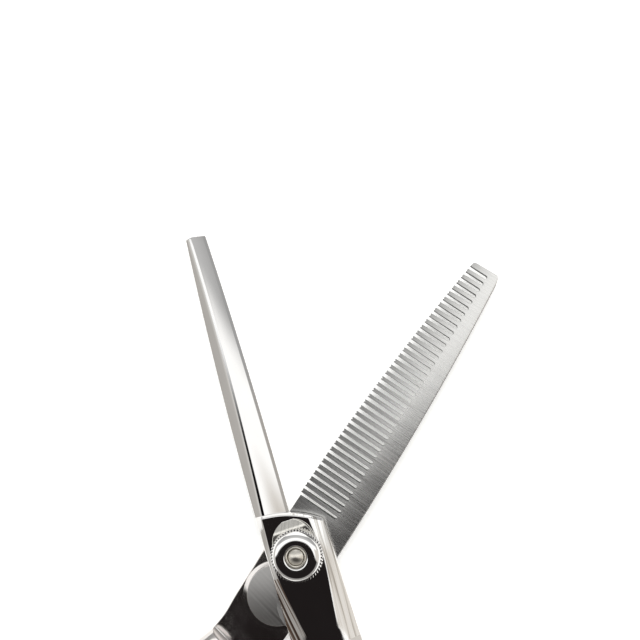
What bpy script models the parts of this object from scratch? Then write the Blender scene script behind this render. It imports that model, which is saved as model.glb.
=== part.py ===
"""Thinning shears, six inches long, with a click dial on the pivot, lying open.

Metres, +Z up. The origin is on the pivot axis at the underside of the pivot screw, which the shears lie on.
+Y runs along the straight blade to its tip. The comb blade is modelled closed, along +Y too, and the empty
comb_side turns it open about the pivot.
"""

import math

import bmesh
import bpy
from mathutils import Matrix, Vector

MM = 0.001

# Overall lay-out
OPEN_ANGLE = math.radians(52.9)
BLADE_TIP_Y = 64.4 * MM
INTERFACE_Z = 3.0 * MM  # the plane that the two blades meet on
BLADE_GAP = 0.05 * MM  # from that plane to each blade's inner face
OUTER_FLAT = 2.7 * MM  # from that plane to each half's ground outer flat
RELIEF = 0.45 * MM  # how far the inner faces are cut back around the ride pads
SHOULDER_RADIUS = 21.8 * MM  # inside this radius each half keeps to its own side of the interface

# Raised flats that the halves slide on: the comb half's seat round the pivot, and a ride pad on each half
SEAT_RADIUS = 4.75 * MM
SEAT_BORDER = 0.5 * MM
PAD_X = 0.9 * MM
PAD_Y = -9.3 * MM
PAD_RADIUS = 5.55 * MM
PAD_BORDER = 1.1 * MM

# Straight blade
BOSS_ARC = Vector((-4.82 * MM, -8.71 * MM))  # centre of the arc at the front of the pivot boss
BOSS_ARC_RADIUS = 17.38 * MM
BOSS_CHAMFER = 0.45 * MM
BLADE_ROOT_Y = 5.0 * MM
EDGE_THICKNESS = 0.1 * MM
EDGE_BEVEL = 0.5 * MM  # width and height of the ground strip along the cutting edge
SPINE_BEVEL_SLOPE = math.tan(math.radians(30))

# Comb blade
SLOT_COUNT = 40
FIRST_SLOT_Y = 8.95 * MM
LAST_SLOT_Y = 62.85 * MM
SLOT_WIDTH = 0.66 * MM
NOTCH_WIDTH = 0.34 * MM
NOTCH_DEPTH = 0.26 * MM
COMB_HEEL_X = -5.76 * MM
COMB_THICKNESS = 2.05 * MM
TOOTH_THICKNESS = 0.95 * MM

# Finger rings
RING_BAND = 3.4 * MM
RING_HALF_HEIGHT = 2.55 * MM
RING_SEGMENTS = 20
SECTION_POINTS = 8
JOIN_SEGMENTS = 3  # segments of the ring that the shank grows out of
FINGER_RING = Vector((15.2 * MM, -74.0 * MM))
FINGER_BORE = 10.75 * MM
THUMB_RING = Vector((-15.2 * MM, -66.0 * MM))
THUMB_BORE = 11.0 * MM

# Pivot
SHANK_RADIUS = 2.5 * MM
BORE_CLEARANCE = 0.08 * MM
HEAD_RADIUS = 4.4 * MM
HEAD_TOP_Z = 0.8 * MM
HEAD_POCKET_RADIUS = 4.7 * MM
HEAD_POCKET_TOP_Z = 2.05 * MM
STUD_RADIUS = 1.45 * MM
STUD_TOP_Z = 9.15 * MM
STUD_FOOT_Z = 5.6 * MM
BUSH_RADIUS = 3.1 * MM
BUSH_TOP_Z = 4.2 * MM
BUSH_POCKET_TOP_Z = 4.35 * MM
BALL_COUNT = 8
BALL_RADIUS = 0.38 * MM
BALL_CIRCLE = 3.5 * MM
BALL_Z = 1.24 * MM
WASHER_INNER = 3.45 * MM
WASHER_OUTER = 4.6 * MM
WASHER_POCKET_TOP_Z = 3.5 * MM

# Tension dial and the leaf spring under it
SPRING_FRONT_Y = 6.35 * MM
SPRING_REAR_Y = -4.35 * MM
SPRING_HALF_WIDTH = 4.2 * MM
SPRING_BEND_Y = 4.8 * MM
SPRING_THICKNESS = 0.42 * MM
SPRING_FOOT_Z = 5.76 * MM
SPRING_BRIDGE_Z = 6.25 * MM
DIAL_RADIUS = 4.9 * MM
DIAL_FOOT_Z = 6.75 * MM
KNURL_COUNT = 52
KNURL_DEPTH = 0.14 * MM

# Fittings on the rings
BUMPER_STEM = 1.0 * MM
BUMPER_HEAD = 2.1 * MM
REST_ANGLE = math.radians(-58.0)  # where the finger rest screws into the finger ring
REST_STUD = 1.1 * MM

TURN_STEPS = 48


def start_scene():
    """Empties the scene and makes the collections and the empties of the moving sides."""
    for old in list(bpy.data.objects):
        bpy.data.objects.remove(old)
    for name in ("thinning_shears", "cutters"):
        bpy.context.scene.collection.children.link(bpy.data.collections.new(name))
    comb_side = bpy.data.objects.new("comb_side", None)
    comb_side.rotation_euler.z = -OPEN_ANGLE
    bpy.data.collections["thinning_shears"].objects.link(comb_side)
    return comb_side


def make_material(name, color, roughness, metallic):
    made = bpy.data.materials.new(name)
    made.use_nodes = True
    shader = made.node_tree.nodes["Principled BSDF"]
    shader.inputs["Base Color"].default_value = (*color, 1.0)
    shader.inputs["Roughness"].default_value = roughness
    shader.inputs["Metallic"].default_value = metallic
    return made


def add_part(name, mesh, material, parent=None):
    """A named object of the shears."""
    part = bpy.data.objects.new(name, mesh)
    mesh.materials.clear()
    mesh.materials.append(material)
    bpy.data.collections["thinning_shears"].objects.link(part)
    part.parent = parent
    return part


def add_tool(name, mesh, parent=None):
    """A solid that only cuts or joins: it isn't a piece of the shears."""
    tool = bpy.data.objects.new(name, mesh)
    bpy.data.collections["cutters"].objects.link(tool)
    tool.hide_render = True
    tool.display_type = "WIRE"
    tool.parent = parent
    return tool


def combine(part, tool, operation):
    step = part.modifiers.new(tool.name, "BOOLEAN")
    step.operation = operation
    step.solver = "EXACT"
    step.object = tool


def finished_mesh(name, bm, smooth_angle=math.radians(35)):
    bmesh.ops.recalc_face_normals(bm, faces=bm.faces)
    mesh = bpy.data.meshes.new(name)
    bm.to_mesh(mesh)
    bm.free()
    mesh.shade_smooth()
    mesh.set_sharp_from_angle(angle=smooth_angle)
    return mesh


def loft(name, loops):
    """A closed solid through loops that have the same number of points."""
    bm = bmesh.new()
    rows = [[bm.verts.new(point) for point in loop] for loop in loops]
    for near, far in zip(rows, rows[1:]):
        for i in range(len(near)):
            j = (i + 1) % len(near)
            bm.faces.new((near[i], near[j], far[j], far[i]))
    bm.faces.new(reversed(rows[0]))
    bm.faces.new(rows[-1])
    return finished_mesh(name, bm)


def turned(name, profile, steps=TURN_STEPS):
    """A solid of revolution about Z through (radius, z) points, down the outside and back up the bore."""
    bm = bmesh.new()
    points = [bm.verts.new((radius, 0, z)) for radius, z in profile]
    closed = min(radius for radius, _ in profile) > 0
    for near, far in zip(points, points[1:] + points[:1] if closed else points[1:]):
        bm.edges.new((near, far))
    mesh = bpy.data.meshes.new(name)
    bm.to_mesh(mesh)
    bm.free()
    holder = bpy.data.objects.new(name + "_profile", mesh)
    bpy.context.scene.collection.objects.link(holder)
    screw = holder.modifiers.new("turn", "SCREW")
    screw.steps = steps
    screw.render_steps = steps
    screw.use_merge_vertices = True
    screw.merge_threshold = 0.00001
    screw.use_smooth_shade = True
    return evaluated_mesh(name, holder)


def evaluated_mesh(name, holder):
    """The mesh that an object shows, with its modifiers applied. The object itself is removed."""
    bpy.context.view_layer.update()
    graph = bpy.context.evaluated_depsgraph_get()
    mesh = bpy.data.meshes.new_from_object(holder.evaluated_get(graph))
    mesh.name = name
    mesh.transform(holder.matrix_world)
    bpy.data.objects.remove(holder)
    bm = bmesh.new()
    bm.from_mesh(mesh)
    bmesh.ops.remove_doubles(bm, verts=bm.verts, dist=0.000001)
    bm.to_mesh(mesh)
    bm.free()
    mesh.set_sharp_from_angle(angle=math.radians(35))
    return mesh


def cylinder(name, radius, low_z, high_z, centre=(0, 0), steps=TURN_STEPS):
    bm = bmesh.new()
    place = Matrix.Translation((centre[0], centre[1], (low_z + high_z) / 2))
    size = {"radius1": radius, "radius2": radius, "depth": high_z - low_z}
    bmesh.ops.create_cone(bm, cap_ends=True, segments=steps, matrix=place, **size)
    return finished_mesh(name, bm)


def box(name, low, high):
    bm = bmesh.new()
    low, high = Vector(low), Vector(high)
    size = high - low
    place = Matrix.Translation((low + high) / 2) @ Matrix.Diagonal((*size, 1))
    bmesh.ops.create_cube(bm, size=1, matrix=place)
    return finished_mesh(name, bm)


def plate(name, outlines, low_z, high_z):
    """Flat outlines, as lists of (x, y), made solid between two heights."""
    curve = bpy.data.curves.new(name, "CURVE")
    curve.dimensions = "2D"
    curve.fill_mode = "BOTH"
    curve.extrude = (high_z - low_z) / 2
    for outline in outlines:
        spline = curve.splines.new("POLY")
        spline.points.add(len(outline) - 1)
        for point, (x, y) in zip(spline.points, outline):
            point.co = (x, y, 0, 1)
        spline.use_cyclic_u = True
    holder = bpy.data.objects.new(name + "_outline", curve)
    holder.location.z = (low_z + high_z) / 2
    bpy.context.scene.collection.objects.link(holder)
    return evaluated_mesh(name, holder)


def arc(centre, radius, start, stop, steps):
    """Points on an arc, angles in degrees."""
    turns = [math.radians(start + (stop - start) * i / steps) for i in range(steps + 1)]
    return [(centre[0] + radius * math.cos(a), centre[1] + radius * math.sin(a)) for a in turns]


# The two halves' bodies: pivot boss, shank and ring, grown as one coarse cage


def half_stations(side, ring):
    """The outer and inner edge and half height along the shank, boss to ring. side is 1 for +X."""
    boss = 6.35 if side > 0 else 5.85
    # Outer x, inner x, y of each, half height
    rows = [
        (boss, -5.65, 13.0, 13.0, 3.25),
        (boss, -5.90, 6.0, 6.0, 3.25),
        (boss, -6.05, 0.0, 0.0, 3.28),
        (boss, -6.25, -5.5, -5.5, 3.16),
        (boss, -6.50, -10.5, -10.5, 2.94),
        (boss - 0.1, -6.65, -14.5, -14.0, 2.84),
        (boss - 0.2, -5.60, -18.5, -17.6, 2.62),
        (boss + 0.05, 1.40, -21.8, -21.6, 2.60),
        (7.35, 2.10, -26.0, -25.4, 2.60),
        (9.30, 3.80, -33.0, -32.0, 2.58),
        (10.75, 5.10, -41.0, -40.5, 2.55),
        (11.70, 5.30, -49.0 + (ring.y / MM + 70) / 2, -49.5 + (ring.y / MM + 70) / 2, 2.50),
    ]
    return [
        (Vector((side * outer * MM, outer_y * MM)), Vector((side * inner * MM, inner_y * MM)), height * MM)
        for outer, inner, outer_y, inner_y, height in rows
    ]


def shank_loop(outer, inner, half_height):
    """Fourteen points round the shank: four across the top, three down the inner side, and so on round."""
    centre, reach = (outer + inner) / 2, (outer - inner) / 2
    across = ((0.74, 0.84), (0.30, 1.03), (-0.30, 1.03), (-0.74, 0.84))
    down = ((-0.99, 0.42), (-1.01, 0.0), (-0.99, -0.42))
    shape = [
        *across,
        *down,
        *((u, -w) for u, w in reversed(across)),
        *((-u, w) for u, w in reversed(down)),
    ]
    return [(*(centre + reach * u), INTERFACE_Z + half_height * w) for u, w in shape]


def ring_point(ring, bore, turn, corner):
    """A cage point of the ring. Corner 0 of its section is outermost, 2 on top and 4 in the bore."""
    around = 2 * math.pi * corner / SECTION_POINTS
    reach = bore + RING_BAND / 2 + 1.16 * RING_BAND / 2 * math.cos(around)
    height = INTERFACE_Z + 1.12 * RING_HALF_HEIGHT * math.sin(around)
    return (ring.x + reach * math.cos(turn), ring.y + reach * math.sin(turn), height)


def half_body(name, side, bore, ring):
    """The cage of one half's boss, shank and ring."""
    stations = half_stations(side, ring)
    end = (stations[-1][0] + stations[-1][1]) / 2
    towards = math.atan2(end.y - ring.y, end.x - ring.x)
    step = 2 * math.pi / RING_SEGMENTS
    # The ring's sections start at the shank's outer side and run away from it
    turns = [towards - side * step * (JOIN_SEGMENTS / 2 - i) for i in range(RING_SEGMENTS)]
    bm = bmesh.new()
    corners = range(SECTION_POINTS)
    sections = [
        [bm.verts.new(ring_point(ring, bore, turn, corner)) for corner in corners] for turn in turns
    ]
    open_corners = (6, 7, 0, 1)
    for i, near in enumerate(sections):
        far = sections[(i + 1) % RING_SEGMENTS]
        for corner in corners:
            if i < JOIN_SEGMENTS and corner in open_corners:
                continue
            following = (corner + 1) % SECTION_POINTS
            bm.faces.new((near[corner], near[following], far[following], far[corner]))
    outer_side, inner_side = sections[0], sections[JOIN_SEGMENTS]
    mouth = [
        *(sections[i][2] for i in range(JOIN_SEGMENTS + 1)),
        *(inner_side[corner] for corner in (1, 0, 7)),
        *(sections[i][6] for i in reversed(range(JOIN_SEGMENTS + 1))),
        *(outer_side[corner] for corner in (7, 0, 1)),
    ]
    rows = [[bm.verts.new(point) for point in shank_loop(*station)] for station in stations]
    rows.append(mouth)
    for near, far in zip(rows, rows[1:]):
        for i in range(len(near)):
            j = (i + 1) % len(near)
            bm.faces.new((near[i], near[j], far[j], far[i]))
    bm.faces.new(rows[0])
    return finished_mesh(name, bm, math.radians(60))


def cut_half(part, side, parent=None):
    """Grinds one half's body: its outer flat, its inner relief and its shoulder."""
    up = 1 if side > 0 else -1
    flat_z = INTERFACE_Z + up * OUTER_FLAT
    relief_z = INTERFACE_Z + up * (BLADE_GAP + RELIEF)
    beyond = up * 6 * MM
    outer = sorted((flat_z, flat_z + beyond))
    flat = box(part.name + "_flat", (-0.02, -0.04, outer[0]), (0.02, 0.02, outer[1]))
    combine(part, add_tool(part.name + "_flat_cutter", flat, parent), "DIFFERENCE")
    inner = sorted((relief_z, relief_z - beyond))
    disc = cylinder(part.name + "_relief", SHOULDER_RADIUS, *inner, steps=72)
    combine(part, add_tool(part.name + "_relief_cutter", disc, parent), "DIFFERENCE")


def raised_flat(name, centre, radius, border, face_z, foot_z):
    """A round flat with a sloped border, standing on a half's inner face."""
    rims = ((radius + border, foot_z), (radius, face_z))
    return loft(name, [[(x, y, z) for x, y in arc(centre, rim, 0, 354, 59)] for rim, z in rims])


def add_raised_flat(part, kind, side, centre, radius, border, parent=None):
    """Joins a raised flat to a half, on the face that meets the other half."""
    up = 1 if side > 0 else -1
    face_z = INTERFACE_Z + up * BLADE_GAP
    name = f"{part.name}_{kind}"
    flat = raised_flat(name, centre, radius, border, face_z, face_z + up * (RELIEF + 0.1 * MM))
    combine(part, add_tool(name, flat, parent), "UNION")


# Straight blade half


def straight_blade_section(y, inset=0.0):
    """The straight blade's section at y: a convex outer face, a bevelled spine and a hollow inner face."""
    share = y / BLADE_TIP_Y
    spine_x = (-6.15 + 0.876 * share + 3.064 * share**2) * MM + inset
    edge_x = (0.05 + 3.35 * share - 1.72 * share**2) * MM - inset
    ridge_x = (-5.02 + 6.7 * share - 2.93 * share**2) * MM + inset
    ridge_z = INTERFACE_Z + (2.27 - 0.8 * share) * MM
    foot_z = INTERFACE_Z + BLADE_GAP
    bevel_top_z = foot_z + EDGE_THICKNESS + EDGE_BEVEL
    width = edge_x - EDGE_BEVEL - ridge_x
    face = []
    for i in range(7):
        reach = i / 6  # 0 at the cutting edge's bevel, 1 at the ridge
        fall = 0.58 * (1 - reach) + 0.42 * (1 - reach) ** 2
        face.append((edge_x - EDGE_BEVEL - width * reach, ridge_z - (ridge_z - bevel_top_z) * fall))
    spine = (spine_x, ridge_z - (ridge_x - spine_x) * SPINE_BEVEL_SLOPE)
    inner = [(spine_x, foot_z), (spine_x + 0.9 * MM, foot_z)]
    inner.append(((spine_x + edge_x) / 2, foot_z + 0.12 * MM))
    inner.append((edge_x - 0.6 * MM, foot_z))
    outline = [(edge_x, foot_z), (edge_x, foot_z + EDGE_THICKNESS), *face, spine, *inner]
    return [(x, y, z) for x, z in outline]


def straight_blade_mesh():
    steps = 14
    stops = [BLADE_ROOT_Y + (BLADE_TIP_Y - 0.3 * MM - BLADE_ROOT_Y) * i / steps for i in range(steps + 1)]
    loops = [straight_blade_section(y) for y in stops]
    loops.append(straight_blade_section(BLADE_TIP_Y, inset=0.15 * MM))
    return loft("straight_blade_steel", loops)


def boss_front_cutter():
    """Cuts the front of the pivot boss to an arc, with a chamfer at its upper edge."""
    flat_z = INTERFACE_Z + OUTER_FLAT
    section = (
        (BOSS_ARC_RADIUS, -2 * MM),
        (BOSS_ARC_RADIUS, flat_z - BOSS_CHAMFER),
        (BOSS_ARC_RADIUS - 2 * BOSS_CHAMFER, flat_z + BOSS_CHAMFER),
        (BOSS_ARC_RADIUS + 15 * MM, flat_z + BOSS_CHAMFER),
        (BOSS_ARC_RADIUS + 15 * MM, -2 * MM),
    )
    loops = []
    for i in range(25):
        a = math.radians(20 + 100 * i / 24)
        out = Vector((math.cos(a), math.sin(a)))
        loops.append([(*(BOSS_ARC + out * radius), z) for radius, z in section])
    return loft("boss_front", loops)


def make_straight_half(steel):
    body = half_body("straight_blade", 1, FINGER_BORE, FINGER_RING)
    part = add_part("straight_blade", body, steel)
    smooth = part.modifiers.new("round", "SUBSURF")
    smooth.levels = smooth.render_levels = 1
    cut_half(part, 1)
    combine(part, add_tool("boss_front_cutter", boss_front_cutter()), "DIFFERENCE")
    combine(part, add_tool("straight_blade_steel", straight_blade_mesh()), "UNION")
    add_raised_flat(part, "pad", 1, (-PAD_X, PAD_Y), PAD_RADIUS, PAD_BORDER)
    bores = (
        ("washer_pocket", WASHER_OUTER + 0.15 * MM, 0.0, WASHER_POCKET_TOP_Z),
        ("bush_pocket", BUSH_RADIUS + 0.15 * MM, 0.0, BUSH_POCKET_TOP_Z),
        ("shank_bore", SHANK_RADIUS + BORE_CLEARANCE, 0.0, 9 * MM),
    )
    for name, radius, low_z, high_z in bores:
        combine(part, add_tool(name, cylinder(name, radius, low_z, high_z)), "DIFFERENCE")
    combine(part, rest_socket(), "DIFFERENCE")
    return part


# Comb blade half


def comb_spine_x(y):
    return 6.5 * MM - 0.85 * y**2


def tooth_tip_x(y):
    return -6.0 * MM + 1.1 * (y - 10 * MM) ** 2


def slot_root_x(y):
    return 2.45 * MM - 0.37 * y**2


def comb_outline():
    """The comb blade's flat outline: up the toothed edge, round the tip and down the spine."""
    pitch = (LAST_SLOT_Y - FIRST_SLOT_Y) / (SLOT_COUNT - 1)
    tooth = pitch - SLOT_WIDTH
    half = SLOT_WIDTH / 2
    points = [(-3.6 * MM, -3.0 * MM), (COMB_HEEL_X, 1.2 * MM)]
    for i in range(SLOT_COUNT):
        y = FIRST_SLOT_Y + pitch * i
        root = (slot_root_x(y) - half, y)
        points.append((tooth_tip_x(y - half) if i else COMB_HEEL_X, y - half))
        points += arc(root, half, -90, 90, 4)
        points.append((tooth_tip_x(y + half), y + half))
        if i < SLOT_COUNT - 1:
            middle = y + half + tooth / 2
            deep = tooth_tip_x(middle) + NOTCH_DEPTH
            points.append((tooth_tip_x(middle), middle - NOTCH_WIDTH / 2))
            points.append((deep, middle))
            points.append((tooth_tip_x(middle), middle + NOTCH_WIDTH / 2))
    points += arc((-2.2 * MM, BLADE_TIP_Y - 0.75 * MM), 0.62 * MM, 150, 90, 4)
    points += arc((2.1 * MM, BLADE_TIP_Y - 0.8 * MM), 0.8 * MM, 90, 10, 5)
    steps = 12
    points += [(comb_spine_x(y), y) for y in (BLADE_TIP_Y * (1 - i / steps) - 2 * MM for i in range(steps))]
    points += [(comb_spine_x(0), -2.0 * MM), (5.0 * MM, -4.0 * MM)]
    return points


def comb_steel_mesh():
    face_z = INTERFACE_Z - BLADE_GAP
    return plate("comb_steel", [comb_outline()], face_z - COMB_THICKNESS, face_z)


def comb_bevel_cutter():
    """Thins the comb's outer face towards the tooth tips and towards the point."""
    face_z = INTERFACE_Z - BLADE_GAP
    loops = []
    for y, thin in ((4.0 * MM, 0.0), (66.0 * MM, 0.75 * MM)):
        spine_z = face_z - COMB_THICKNESS + thin - 0.01 * MM
        tooth_z = face_z - TOOTH_THICKNESS + thin / 3
        low_z, left_x, right_x = -3 * MM, -7 * MM, 8 * MM
        slope = [(right_x, spine_z), (2.9 * MM, spine_z), (left_x, tooth_z)]
        outline = [*slope, (left_x, low_z), (right_x, low_z)]
        loops.append([(x, y, z) for x, z in outline])
    return loft("comb_bevel", loops)


def make_comb_half(steel, comb_side):
    body = half_body("comb_blade", -1, THUMB_BORE, THUMB_RING)
    part = add_part("comb_blade", body, steel, comb_side)
    smooth = part.modifiers.new("round", "SUBSURF")
    smooth.levels = smooth.render_levels = 1
    cut_half(part, -1, comb_side)
    nose = box("comb_nose", (-0.02, 5 * MM, -0.01), (0.02, 0.03, 0.02))
    combine(part, add_tool("comb_nose_cutter", nose, comb_side), "DIFFERENCE")
    steel_tool = add_tool("comb_steel", comb_steel_mesh(), comb_side)
    bevel_tool = add_tool("comb_bevel_cutter", comb_bevel_cutter(), comb_side)
    combine(steel_tool, bevel_tool, "DIFFERENCE")
    combine(part, steel_tool, "UNION")
    add_raised_flat(part, "pad", -1, (PAD_X, PAD_Y), PAD_RADIUS, PAD_BORDER, comb_side)
    add_raised_flat(part, "seat", -1, (0, 0), SEAT_RADIUS, SEAT_BORDER, comb_side)
    bores = (
        ("head_pocket", HEAD_POCKET_RADIUS, -1 * MM, HEAD_POCKET_TOP_Z),
        ("bush_bore", BUSH_RADIUS + 0.05 * MM, -1 * MM, 9 * MM),
    )
    for name, radius, low_z, high_z in bores:
        tool = add_tool(name, cylinder(name, radius, low_z, high_z), comb_side)
        combine(part, tool, "DIFFERENCE")
    combine(part, bumper_socket(comb_side), "DIFFERENCE")
    return part


# Pivot


def make_pivot_screw(steel):
    """The screw from below: a flat head with two spanner holes, a plain shank and a threaded stud."""
    profile = [
        (0, STUD_TOP_Z),
        (STUD_RADIUS - 0.25 * MM, STUD_TOP_Z),
        (STUD_RADIUS, STUD_TOP_Z - 0.25 * MM),
        (STUD_RADIUS, STUD_FOOT_Z),
        (SHANK_RADIUS, STUD_FOOT_Z),
        (SHANK_RADIUS, HEAD_TOP_Z),
        (HEAD_RADIUS, HEAD_TOP_Z),
        (HEAD_RADIUS, 0.2 * MM),
        (HEAD_RADIUS - 0.2 * MM, 0),
        (0, 0),
    ]
    screw = add_part("pivot_screw", turned("pivot_screw", profile), steel)
    for index, x in enumerate((-2.7 * MM, 2.7 * MM)):
        name = f"spanner_hole_{index + 1}"
        hole = cylinder(name, 0.45 * MM, -1 * MM, 0.5 * MM, (x, 0), 16)
        combine(screw, add_tool(name, hole), "DIFFERENCE")


def ring_part(name, inner, outer, low_z, high_z, material, parent=None):
    profile = [(outer, high_z), (outer, low_z), (inner, low_z), (inner, high_z)]
    return add_part(name, turned(name, profile), material, parent)


def make_bearing(steel, brass):
    """The thrust bearing between the screw's head and the comb blade."""
    cage = bpy.data.objects.new("bearing_cage", None)
    cage.empty_display_size = 4 * MM
    bpy.data.collections["thinning_shears"].objects.link(cage)
    low_z, high_z = BALL_Z - 0.14 * MM, BALL_Z + 0.14 * MM
    retainer = ring_part("bearing_retainer", 2.75 * MM, 4.25 * MM, low_z, high_z, brass, cage)
    for i in range(BALL_COUNT):
        a = 2 * math.pi * (i + 0.27) / BALL_COUNT
        centre = (BALL_CIRCLE * math.cos(a), BALL_CIRCLE * math.sin(a))
        pocket = cylinder(f"ball_pocket_{i + 1}", BALL_RADIUS + 0.07 * MM, 0.9 * MM, 1.6 * MM, centre, 12)
        combine(retainer, add_tool(f"ball_pocket_{i + 1}", pocket), "DIFFERENCE")
        bm = bmesh.new()
        bmesh.ops.create_uvsphere(bm, u_segments=12, v_segments=8, radius=BALL_RADIUS)
        ball = add_part(f"bearing_ball_{i + 1}", finished_mesh(f"bearing_ball_{i + 1}", bm), steel, cage)
        ball.location = (*centre, BALL_Z)


def make_leaf_spring(steel):
    """An oval leaf under the dial. Its longer end, towards the blade's tip, is bent down onto the boss."""
    steps = 16
    rows = []
    for i in range(steps + 1):
        y = SPRING_REAR_Y + (SPRING_FRONT_Y - SPRING_REAR_Y) * i / steps
        # Each end stops a little short of the point of the oval, so it is a narrow flat
        reach = y / (SPRING_FRONT_Y if y > 0 else SPRING_REAR_Y) / 1.04
        half_width = SPRING_HALF_WIDTH * math.sqrt(1 - reach**2.6)
        drop = max(y - SPRING_BEND_Y, 0) / (SPRING_FRONT_Y - SPRING_BEND_Y)
        low_z = SPRING_BRIDGE_Z + (SPRING_FOOT_Z - SPRING_BRIDGE_Z) * drop
        section = ((-half_width, low_z), (half_width, low_z), (half_width, low_z + SPRING_THICKNESS))
        rows.append([(x, y, z) for x, z in (*section, (-half_width, low_z + SPRING_THICKNESS))])
    spring = add_part("leaf_spring", loft("leaf_spring", rows), steel)
    hole = cylinder("spring_hole", STUD_RADIUS + 0.25 * MM, 5 * MM, 8 * MM)
    combine(spring, add_tool("spring_hole", hole), "DIFFERENCE")


def make_dial(chrome):
    """The knurled tension dial: a toothed skirt under a domed, hollowed cap."""
    teeth = []
    for i in range(KNURL_COUNT):
        for share, radius in ((0.0, DIAL_RADIUS - KNURL_DEPTH), (0.35, DIAL_RADIUS), (0.65, DIAL_RADIUS)):
            a = 2 * math.pi * (i + share) / KNURL_COUNT
            teeth.append((radius * math.cos(a), radius * math.sin(a)))
    skirt = plate("dial_skirt", [teeth], DIAL_FOOT_Z, DIAL_FOOT_Z + 1.05 * MM)
    dial = add_part("tension_dial", skirt, chrome)
    dome = [(3.25 * MM, 9.0 * MM)]
    dome += [(3.25 * MM + x, 7.72 * MM + y) for x, y in arc((0, 0), 1.3 * MM, 75, 0, 6)]
    profile = [
        (2.45 * MM, 8.86 * MM),
        *dome,
        (4.55 * MM, 7.4 * MM),
        (1.0 * MM, 7.4 * MM),
        (1.0 * MM, 8.1 * MM),
        (2.3 * MM, 8.1 * MM),
        (2.3 * MM, 8.7 * MM),
    ]
    combine(dial, add_tool("dial_dome", turned("dial_dome", profile)), "UNION")
    thread = cylinder("dial_bore", STUD_RADIUS + 0.06 * MM, 6 * MM, 10 * MM)
    combine(dial, add_tool("dial_bore", thread), "DIFFERENCE")


# Fittings on the rings


def aim(origin, direction):
    """A matrix that puts +Z along a direction in the plan, at a point at the height of the interface."""
    turn = Vector((direction[0], direction[1], 0)).to_track_quat("Z", "Y").to_matrix().to_4x4()
    return Matrix.Translation((origin[0], origin[1], INTERFACE_Z)) @ turn


def bumper_frame():
    """On the thumb ring's rim, facing the finger ring as it comes together with the shears closed."""
    direction = (FINGER_RING - THUMB_RING).normalized()
    return aim(THUMB_RING + direction * (THUMB_BORE + RING_BAND), direction)


def bumper_socket(comb_side):
    mesh = cylinder("bumper_socket", BUMPER_STEM + 0.08 * MM, -1.9 * MM, 2 * MM, steps=24)
    mesh.transform(bumper_frame())
    return add_tool("bumper_socket", mesh, comb_side)


def make_bumper(rubber, comb_side):
    gap = (FINGER_RING - THUMB_RING).length - FINGER_BORE - THUMB_BORE - 2 * RING_BAND
    top = gap - 0.25 * MM
    round_top = [(0, top)]
    round_top += [(x, top - 0.9 * MM + y * 0.43) for x, y in arc((0, 0), BUMPER_HEAD, 70, 0, 5)]
    foot, stem_end = 0.15 * MM, -1.8 * MM
    profile = [*round_top, (BUMPER_HEAD, foot), (BUMPER_STEM, foot), (BUMPER_STEM, stem_end), (0, stem_end)]
    mesh = turned("bumper", profile, 24)
    mesh.transform(bumper_frame())
    add_part("bumper", mesh, rubber, comb_side)


def rest_direction():
    return Vector((math.cos(REST_ANGLE), math.sin(REST_ANGLE)))


def rest_socket():
    mesh = cylinder("rest_socket", REST_STUD + 0.08 * MM, -2.2 * MM, 2 * MM, steps=24)
    mesh.transform(aim(FINGER_RING + rest_direction() * (FINGER_BORE + RING_BAND), rest_direction()))
    return add_tool("rest_socket", mesh)


def make_finger_rest(chrome, steel):
    """The hooked rest for the little finger, with a stud that screws into the ring, over a thin washer."""
    rim = FINGER_BORE + RING_BAND
    out = rest_direction()
    foot = FINGER_RING + out * (rim + 0.55 * MM)
    route = [(-2.45, REST_STUD), (-0.05, REST_STUD), (0.0, 2.25 * MM), (1.2, 2.2 * MM)]
    points = [(foot + out * (along * MM), radius) for along, radius in route]
    place, heading = points[-1][0], REST_ANGLE
    steps = 14
    for i in range(steps):
        share = (i + 1) / steps
        heading += math.radians(5.2) * (1.5 - share)
        place = place + Vector((math.cos(heading), math.sin(heading))) * 1.35 * MM
        swell = 0.55 * MM * math.exp(-(((share - 1.0) / 0.16) ** 2))
        points.append((place, 2.15 * MM - 0.75 * MM * share + swell))
    ahead = Vector((math.cos(heading), math.sin(heading)))
    for reach, radius in ((0.85, 1.7), (1.35, 1.2), (1.6, 0.5)):
        points.append((place + ahead * reach * MM, radius * MM))
    curve = bpy.data.curves.new("finger_rest", "CURVE")
    curve.dimensions = "3D"
    curve.bevel_depth = 1.0
    curve.bevel_resolution = 3
    curve.use_fill_caps = True
    spline = curve.splines.new("POLY")
    spline.points.add(len(points) - 1)
    for point, (place, radius) in zip(spline.points, points):
        point.co = (place.x, place.y, INTERFACE_Z, 1)
        point.radius = radius
    holder = bpy.data.objects.new("finger_rest_curve", curve)
    bpy.context.scene.collection.objects.link(holder)
    add_part("finger_rest", evaluated_mesh("finger_rest", holder), chrome)
    inner, outer, thickness = 1.2 * MM, 2.2 * MM, 0.3 * MM
    washer = turned("rest_washer", [(outer, thickness), (outer, 0), (inner, 0), (inner, thickness)], 24)
    washer.transform(aim(FINGER_RING + out * (rim + 0.18 * MM), out))
    add_part("rest_washer", washer, steel)


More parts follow.
